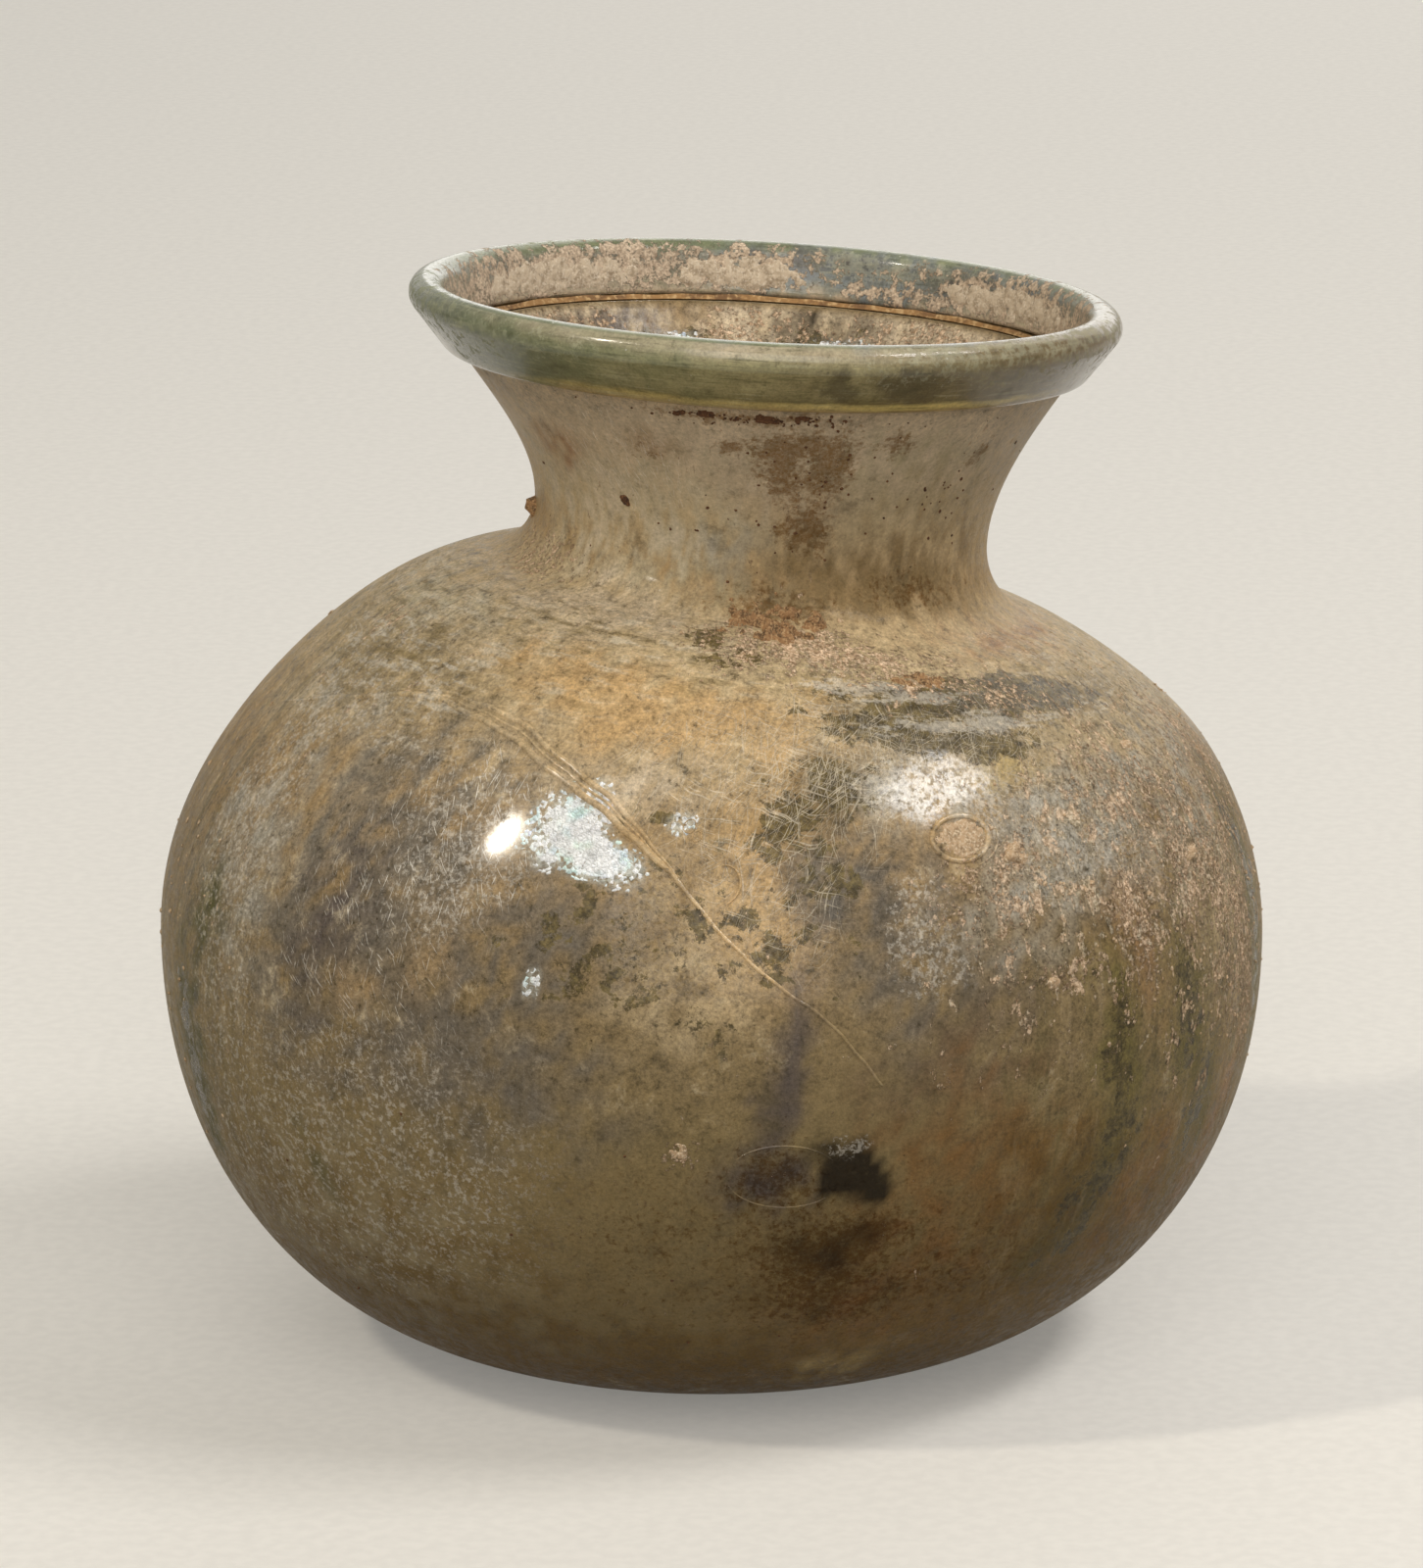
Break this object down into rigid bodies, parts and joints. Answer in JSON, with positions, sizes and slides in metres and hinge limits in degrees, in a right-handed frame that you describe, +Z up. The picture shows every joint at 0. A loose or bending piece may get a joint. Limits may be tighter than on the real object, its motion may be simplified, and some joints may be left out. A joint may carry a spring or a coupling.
{
  "type": "unguentarium",
  "caption": "Small free-blown glass unguentarium: globular bulb on a kicked base, short neck, funnel mouth with a rim folded out, up and in; leaning neck, raised string of glass, burial soil.",
  "frame": {"origin": "middle of the flat standing ring under the base", "axes": "+Z up out of the mouth, -Y towards the front, the side that the picture shows, +X to the right as seen from the front, the side that the neck and mouth lean to"},
  "size_m": [0.078, 0.078, 0.0764],
  "materials": {
    "weathered_glass": "blown soda-lime glass, pale yellow-green under a satin tan weathering film, with clear, grey-violet and pearly patches",
    "rim_glass": "fire-polished pale green glass, translucent, nearly free of weathering",
    "string_glass": "glossy raised glass, pale yellow-green",
    "pink_soil": "matt, crumbly, peach-tan earth",
    "brown_soil": "matt dark red-brown earth",
    "pale_soil": "matt pale tan earth and weathering crust"
  },
  "bodies": {
    "root": {"base": "weathered_glass", "pontil_scar": "weathered_glass", "bulb": "weathered_glass", "shoulder": "weathered_glass", "neck": "weathered_glass", "mouth_funnel": "weathered_glass", "folded_rim": "rim_glass", "glass_string": "string_glass", "blister_lip": "string_glass", "blister_soil": "pale_soil", "neck_foot_crust": "pink_soil", "neck_foot_crumb": "pink_soil", "shoulder_crust": "pink_soil", "blister_crumb": "pink_soil", "ledge_dirt": "brown_soil", "neck_speck": "brown_soil", "flank_crumb_1": "pale_soil", "flank_crumb_2": "pale_soil", "flank_crumb_3": "pale_soil", "flank_crumb_4": "pale_soil", "flank_crumb_5": "pale_soil", "soil_lining": "pale_soil", "crease_soil": "brown_soil", "mouth_soil_left": "pink_soil", "mouth_soil_middle": "pink_soil", "mouth_soil_right": "pink_soil"}
  },
  "joints": []
}
